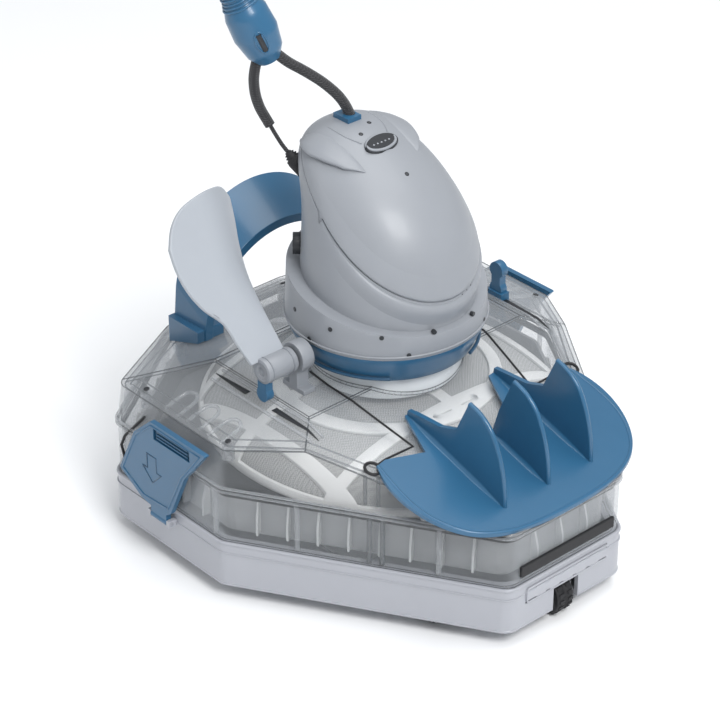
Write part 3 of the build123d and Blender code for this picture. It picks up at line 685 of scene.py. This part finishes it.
def plan_points(inset, radius=15.0):
    """The octagonal plan as a list of points with rounded corners."""
    corners = [(HALF_LENGTH, -64), (HALF_LENGTH, 64), (11, 190), (-128, 190), (-HALF_LENGTH, 66),
               (-HALF_LENGTH, -66), (-128, -190), (11, -190)]
    out = []
    for k, corner in enumerate(corners):
        here = Vector((*corner, 0))
        before = Vector((*corners[k - 1], 0))
        after = Vector((*corners[(k + 1) % 8], 0))
        a, b = (before - here).normalized(), (after - here).normalized()
        half = a.angle(b) / 2
        centre = here + (a + b).normalized() * (radius / math.sin(half))
        normals = []
        for arm in (a, b):
            normal = Vector((-arm.y, arm.x, 0))
            normals.append(-normal if normal.dot(here - centre) < 0 else normal)
        for t in range(7):
            out.append(centre + normals[0].slerp(normals[1], t / 6) * (radius - inset))
    return out


SKIRT_BEADS = (          # name, inset, end beside the wheel's notch, height, radius
    ("skirt_foot", 2.8, (212.2, 15.5), 15.4, 1.3),
    ("skirt_line", 1.9, (213.1, 47.5), 46.0, 0.7),
)
WALL_POST_ZS, COVER_POST_ZS = (58, 80, 101), (107, 120, 133)
FIN_LOW, FIN_MIDDLE, FIN_HIGH = 63.5, 78.0, 94.0
PAD_LOW, PAD_HIGH, PAD_HALF = 38.5, 48.5, 5.5


def pairs(points):
    """Each point of a closed outline with the next one."""
    return zip(points, points[1:] + points[:1])


def make_body_details():
    """Rim beads, skirt beads, wall posts, tray ribs and bumper pads."""
    for name, inset, z, radius, slot, material in (
            ("seam_rim_low", 3.6, 103.6, 1.3, "clear_plastic", CLEAR_EDGE),
            ("seam_rim_high", 3.6, 107.2, 1.3, "clear_plastic", CLEAR_EDGE),
            ("skirt_rim", 2.6, 55.2, 1.5, "pale_grey_plastic", BODY_GREY)):
        path = [(p.x, p.y, z) for p in plan_points(inset)]
        tube_piece(name, path, radius, "chassis", slot, material, closed=True, smooth=False)
    for side, sign in SIDES:
        for name, inset, end, z, radius in SKIRT_BEADS:
            half = [end] + [(p.x, p.y) for p in plan_points(inset) if p.y > 20] + [(-end[0], end[1])]
            tube_piece("%s_%s" % (side, name), [(x, y * sign, z) for x, y in half], radius, "chassis",
                       "pale_grey_plastic", BODY_GREY, smooth=False)
    posts = ((61.5, -151), (112, -119.5), (121, -114), (160, -90), (-100, -183.5), (0, -183.5), (-170, -122))
    # painted shade: wall posts 1 and 2 and the cover posts are in the dark copy of the clear plastic
    for side, sign in MIRRORED:
        for k, (x, y) in enumerate(posts):
            tube_piece("%s_post_%d" % (side, k), [(x, y * sign, z) for z in WALL_POST_ZS], 2.2, "chassis",
                       "clear_plastic", CLEAR_SHADE_LINE if k in (1, 2) else CLEAR_EDGE, smooth=False)
        for k, (x, y) in enumerate(((103, 116), (112, 110.5))):
            tube_piece("%s_cover_post_%d" % (side, k), [(x, -y * sign, z) for z in COVER_POST_ZS], 1.7,
                       "cover", "clear_plastic", CLEAR_SHADE_LINE, smooth=False)
    fins = 0
    for (a, b), (c, d) in zip(pairs(plan_points(8.0)), pairs(plan_points(15.5))):
        count = int((b - a).length / 24)
        for t in range(1, count):
            share = t / count
            out, back = a.lerp(b, share), c.lerp(d, share)
            points = [(out.x, out.y, FIN_LOW), (back.x, back.y, FIN_LOW), (back.x, back.y, FIN_HIGH),
                      (out.x * 0.4 + back.x * 0.6, out.y * 0.4 + back.y * 0.6, FIN_HIGH),
                      (out.x, out.y, FIN_MIDDLE)]
            fin = mesh_piece("tray_fin_%d" % fins, points, [(0, 1, 2, 3, 4)], "chassis", "white_plastic",
                             TRAY_FIN, flat=True)
            solidify(fin, 1.8, 0.0)
            fins += 1
    for name, sign in (("front", 1), ("rear", -1)):
        deep = sign * (HALF_LENGTH - 0.9)
        for k, y in enumerate((-30, -15, 0, 15, 30)):
            points = [(deep, y - PAD_HALF, PAD_LOW), (deep, y + PAD_HALF, PAD_LOW),
                      (deep, y + PAD_HALF, PAD_HIGH), (deep, y - PAD_HALF, PAD_HIGH)]
            pad = mesh_piece("%s_bumper_pad_%d" % (name, k), points, [(0, 1, 2, 3)], "chassis",
                             "pale_grey_plastic", BODY_GREY, flat=True)
            solidify(pad, 1.4, 0.0)
            soften(pad, 0.5, 2)
        cap = [(deep, y, z) for y, z in
               ((-44, 37.5), (44, 37.5), (45, 38.5), (45, 49), (44, 50), (-44, 50), (-45, 49), (-45, 38.5))]
        tube_piece(name + "_bumper_edge", cap, 0.85, "chassis", "pale_grey_plastic", BODY_GREY, closed=True,
                   smooth=False)


def make_edge_lines():
    """Fine dark lines of painted shade where the clear walls turn, standing for the darkening that thick clear
    plastic shows at its edges.
    """
    for node, body, least in (("cover_shell", "cover", 14), ("lower_body", "chassis", 40)):
        work = bmesh.new()
        work.from_mesh(NODES[node].data)
        bmesh.ops.remove_doubles(work, verts=work.verts, dist=0.00001)
        curve = bpy.data.curves.new(node + "_edge_lines", "CURVE")
        curve.dimensions = "3D"
        curve.bevel_depth = 0.0005
        curve.bevel_resolution = 1
        for edge in work.edges:
            if len(edge.link_faces) == 2 and math.degrees(edge.calc_face_angle()) > least:
                spline = curve.splines.new("POLY")
                spline.points.add(1)
                for point, vertex in zip(spline.points, edge.verts):
                    point.co = (*vertex.co, 1)
        work.free()
        lines = bpy.data.objects.new(node + "_edge_lines", curve)
        bpy.context.scene.collection.objects.link(lines)
        finish_piece(lines, body, "clear_plastic", CLEAR_SHADE_LINE)


LATCH_FACE_Y = 196.0


def make_latches():
    """Raised frame, finger recess, arrow and dark seal around each side latch; the recess and the arrow are in
    painted shade.
    """
    panel = ((-106, 74), (-86, 115), (-65, 133.5), (-3, 133.5), (-28, 101), (-47, 62), (-79, 60))
    for side, sign in SIDES:
        y = sign * LATCH_FACE_Y
        path = [(x, y - sign * 0.6, z) for x, z in panel]
        tube_piece(side + "_latch_frame", path, 1.1, side + "_latch", "blue_plastic", BLUE, closed=True,
                   smooth=False)
        # painted shade: the arrow's outline is in the darker, shaded copy of the blue
        arrow = ((-66, 78), (-54, 90), (-60, 90), (-60, 104), (-72, 104), (-72, 90), (-78, 90))
        tube_piece(side + "_latch_arrow", [(x, y - sign * 0.6, z) for x, z in arrow], 0.8, side + "_latch",
                   "blue_plastic", BLUE_SHADED, closed=True, smooth=False)
        # painted shade: the recess floor is in the darker, shaded copy of the blue
        floor = [(x, y - sign * 2.5, z) for x, z in
                 ((-61.5, 122.4), (-16.5, 122.4), (-16.5, 132.6), (-61.5, 132.6))]
        strip = mesh_piece(side + "_latch_recess", floor, [(0, 1, 2, 3)], side + "_latch", "blue_plastic",
                           BLUE_SHADED, flat=True)
        solidify(strip, 0.4, 0.0)
        for k in range(3):
            z = 124.2 + 3.2 * k
            path = [(x, y - sign * 1.6, z) for x in (-59, -38, -19)]
            tube_piece("%s_latch_grip_%d" % (side, k), path, 0.7, side + "_latch", "blue_plastic", BLUE,
                       smooth=False)
        seal = ((-114, 75), (-118, 86), (-112, 98), (-92, 121), (-88, 126))
        path = [(x, sign * (187.2 - max(0, z - 105) * 0.14), z) for x, z in seal]
        tube_piece(side + "_latch_seal", path, 1.2, "chassis", "black_rubber", RUBBER, smooth=False)


LUGS = 18


def make_wheels():
    """Treaded tyres, their hub faces in the same black rubber."""
    for name in ("front_wheel", "rear_wheel", "front_left_wheel", "front_right_wheel", "rear_left_wheel",
                 "rear_right_wheel"):
        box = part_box(name)
        low, high = Vector(box[0]) / MM, Vector(box[1]) / MM
        centre = (low + high) / 2
        radius, half = (high.z - low.z) / 2, (high.y - low.y) / 2
        profile = [(3.2, -half), (radius * 0.55, -half), (radius * 0.6, -half + 1.2), (radius * 0.8, -half + 0.6),
                   (radius - 1.6, -half + 0.4), (radius - 0.9, -half + 1.6), (radius - 0.9, -2.0),
                   (radius - 2.0, -1.2), (radius - 2.0, 1.2), (radius - 0.9, 2.0), (radius - 0.9, half - 1.6),
                   (radius - 1.6, half - 0.4), (radius * 0.8, half - 0.6), (radius * 0.6, half - 1.2),
                   (radius * 0.55, half), (3.2, half)]
        tyre = lathe_piece(name + "_tyre", profile, tuple(centre), (0, 1, 0), name, "black_rubber", RUBBER, 64)
        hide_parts(name)
        for k, a in enumerate(full_turn(LUGS)):
            out = Vector((math.cos(a), 0, math.sin(a)))
            turn = Vector((-math.sin(a), 0, math.cos(a)))
            points, faces = [], []
            for sign in (-1, 1):
                base = len(points)
                y0, y1 = sorted((sign * 2.2, sign * (half - 1.8)))
                for y in (y0, y1):
                    for t in (-1.3, 1.3):
                        for r in (radius - 1.4, radius - 0.02):
                            points.append(tuple(centre + Vector((0, y, 0)) + turn * t + out * r))
                faces += [tuple(base + i for i in f) for f in
                          ((0, 1, 3, 2), (4, 6, 7, 5), (0, 4, 5, 1), (2, 3, 7, 6), (1, 5, 7, 3), (0, 2, 6, 4))]
            mesh_piece("%s_lug_%d" % (name, k), points, faces, name, "black_rubber", RUBBER, flat=True)


GUIDE_EDGE_X, GUIDE_EDGE_Z, GUIDE_SLOPE = 212.0, 106.0 + 1.2, 0.30
RIM_MAX_X = 213.4


def make_guide_details():
    """Rolled rim, vane fillets and vane edges of the finned guide."""
    def plate(x, lift=0.0):
        return GUIDE_EDGE_Z + GUIDE_SLOPE * (GUIDE_EDGE_X - x) + lift

    half_rim = [(214.6, 0), (214.2, 23), (212, 46), (207, 68), (197, 88), (182, 101), (163, 110), (136, 112),
                (108, 108)]
    rim = [(x, -y) for x, y in half_rim[:0:-1]] + half_rim
    path = [(min(x, RIM_MAX_X) - 0.4, y * 0.99, plate(x, 2.2)) for x, y in rim]
    tube_piece("guide_rim", path, 1.7, "cover", "blue_plastic", BLUE)
    path = [(min(x, RIM_MAX_X) - 0.2, y, plate(x, -0.6)) for x, y in rim]
    tube_piece("guide_gasket", path, 0.8, "cover", "black_rubber", RUBBER)
    for k, y in enumerate((-48.0, 0.0, 48.0)):
        low_x = 84.0 if y else 128.0
        for side in (-1, 1):
            def fillet(u, v, y=y, side=side, low_x=low_x):
                x = low_x + (186.0 - low_x) * u
                a = v * math.pi / 2
                r = 4.2 * min(1.0, 0.3 + 3.0 * u, 0.3 + 3.0 * (1 - u))
                return (x, y + side * (1.9 + r - r * math.sin(a)), plate(x, 3.0) + r - r * math.cos(a))

            grid_piece("vane_fillet_%d_%d" % (k, side > 0), fillet, 16, 7, "cover", "blue_plastic", BLUE)
        outer = ((148, 192), (158, 188.6), (166, 184), (173, 177), (178, 168), (183.5, 154), (187, 140),
                 (188.6, 126), (189, 116))
        path = [(x - 0.5, y, z - 0.4) for x, z in outer]
        tube_piece("vane_edge_%d" % k, path, 2.15, "cover", "blue_plastic", BLUE)


# ---- stage ----
def make_stage():
    """Pale floor and soft studio light."""
    floor_mesh = bpy.data.meshes.new("floor")
    reach = 2.6
    floor_mesh.from_pydata([(-reach, -reach, 0), (reach, -reach, 0), (reach, reach, 0), (-reach, reach, 0)],
                           [], [(0, 1, 2, 3)])
    floor = bpy.data.objects.new("floor", floor_mesh)
    bpy.context.scene.collection.objects.link(floor)
    material, tree, shader = new_material("floor_pale")
    shader.inputs["Base Color"].default_value = (0.93, 0.935, 0.94, 1)
    shader.inputs["Roughness"].default_value = 0.6
    floor_mesh.materials.append(material)
    world = bpy.data.worlds.new("studio")
    world.use_nodes = True
    world.node_tree.nodes["Background"].inputs["Color"].default_value = (0.93, 0.96, 1.0, 1)
    world.node_tree.nodes["Background"].inputs["Strength"].default_value = 0.5
    bpy.context.scene.world = world
    lamps = (("key", (1.9, -0.5, 2.3), 1.1, 62), ("fill", (-1.6, -1.8, 1.6), 1.6, 10),
             ("top", (0.1, 0.5, 2.8), 1.8, 34))
    for name, place, size, power in lamps:
        data = bpy.data.lights.new(name, "AREA")
        data.size = size
        data.energy = power
        lamp = bpy.data.objects.new(name, data)
        lamp.location = place
        lamp.rotation_euler = (TARGET - Vector(place)).to_track_quat("-Z", "Y").to_euler()
        bpy.context.scene.collection.objects.link(lamp)
    bpy.context.scene.view_settings.view_transform = "Standard"


make_camera()
make_cords()
dress_nodes()
make_head()
make_paddle()
make_float()
make_cover_details()
make_body_details()
make_edge_lines()
make_latches()
make_wheels()
make_guide_details()
make_stage()
